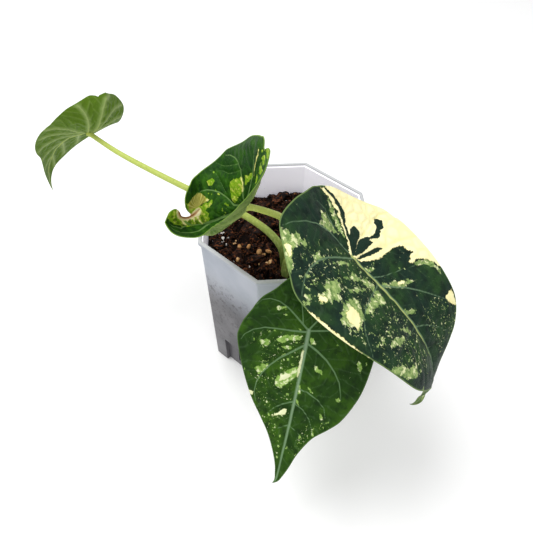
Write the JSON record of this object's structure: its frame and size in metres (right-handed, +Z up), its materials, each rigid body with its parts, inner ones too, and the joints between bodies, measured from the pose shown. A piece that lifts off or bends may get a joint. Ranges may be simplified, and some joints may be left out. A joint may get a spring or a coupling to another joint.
{
  "type": "potted aroid house plant",
  "caption": "Young potted aroid with heart-shaped variegated leaves on arching stalks, standing in a tall octagonal clear plastic nursery pot filled with chunky potting mix.",
  "frame": {"origin": "middle of the flat underside of the pot, on the surface it stands on", "axes": "+Z up, -Y towards the pot's front short side, where the front leaf hangs over the rim, +X to the right seen from the front"},
  "size_m": [0.2111, 0.1965, 0.1865],
  "materials": {
    "leaf_back_left": "satin",
    "leaf_cupped": "satin",
    "leaf_front": "satin",
    "leaf_right": "satin",
    "stalk": "satin",
    "pot": "translucent",
    "potting_mix": "matte"
  },
  "bodies": {
    "root": {"leaf_back_left": "leaf_back_left", "leaf_cupped": "leaf_cupped", "leaf_front": "leaf_front", "leaf_right": "leaf_right", "stalk_back_left": "stalk", "stalk_cupped": "stalk", "stalk_front": "stalk", "stalk_right": "stalk", "pot": "pot", "potting_mix": "potting_mix"}
  },
  "joints": []
}
